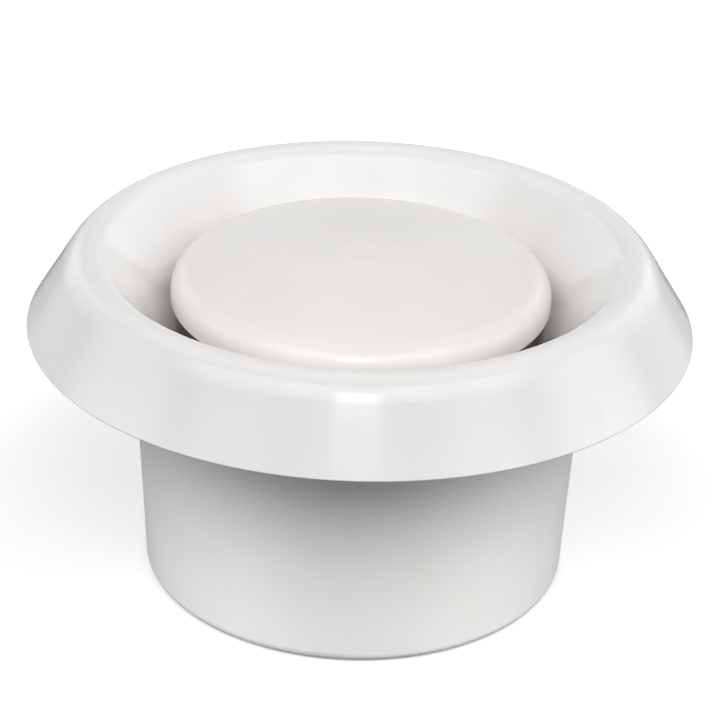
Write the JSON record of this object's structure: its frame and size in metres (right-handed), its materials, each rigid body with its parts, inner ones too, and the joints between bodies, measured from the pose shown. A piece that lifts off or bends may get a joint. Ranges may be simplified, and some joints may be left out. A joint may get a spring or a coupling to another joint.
{
  "type": "disc valve",
  "caption": "Round ceiling disc valve for an air duct: white moulded ring with a rounded crest, domed disc that screws in and out to set the air gap, and a tapered push-in sleeve.",
  "frame": {"origin": "on the valve's axis, in the plane where the ring's rim and the sleeve's lip meet the ceiling or wall", "axes": "+Z along the valve's axis into the room, -Z into the duct; -Y faces the viewer in the picture"},
  "size_m": [0.146, 0.146, 0.0767],
  "materials": {
    "gloss_white": "glossy moulded white",
    "disc_white": "glossy moulded white, slightly warmer",
    "satin_white": "satin moulded white",
    "nut_white": "satin moulded white",
    "foam": "closed-cell foam",
    "black_rubber": "matt",
    "steel": "zinc plated",
    "spring_steel": "blackened spring steel"
  },
  "bodies": {
    "housing": {"front_ring": "gloss_white", "mounting_sleeve": "satin_white", "wall_gasket": "foam", "hub_nut": "steel"},
    "sliding_rings": {"stop_washer": "black_rubber", "end_clip": "spring_steel"},
    "disc": {"valve_disc": "disc_white", "spindle": "steel", "jam_nut": "steel"},
    "loose_washer": {"lock_washer": "steel"},
    "wing_nut": {"lock_nut": "nut_white"}
  },
  "joints": [
    {"name": "disc_travel", "type": "slide", "parent": "housing", "child": "sliding_rings", "axis": [0, 0, 1], "range_m": [-0.005, 0.01]},
    {"name": "disc_turn", "type": "hinge", "parent": "sliding_rings", "child": "disc", "pos_m": [0, 0, 0], "axis": [0, 0, 1], "range_deg": [-1440, 2880]},
    {"name": "nut_travel", "type": "slide", "parent": "housing", "child": "loose_washer", "axis": [0, 0, 1], "range_m": [-0.00125, 0]},
    {"name": "nut_turn", "type": "hinge", "parent": "loose_washer", "child": "wing_nut", "pos_m": [0, 0, -0.0261], "axis": [0, 0, 1], "range_deg": [-360, 0]}
  ],
  "couplings": [
    {"joint": "disc_travel", "follows": "disc_turn", "m_per_rad": 0.00019894},
    {"joint": "nut_travel", "follows": "nut_turn", "m_per_rad": 0.00019894}
  ]
}
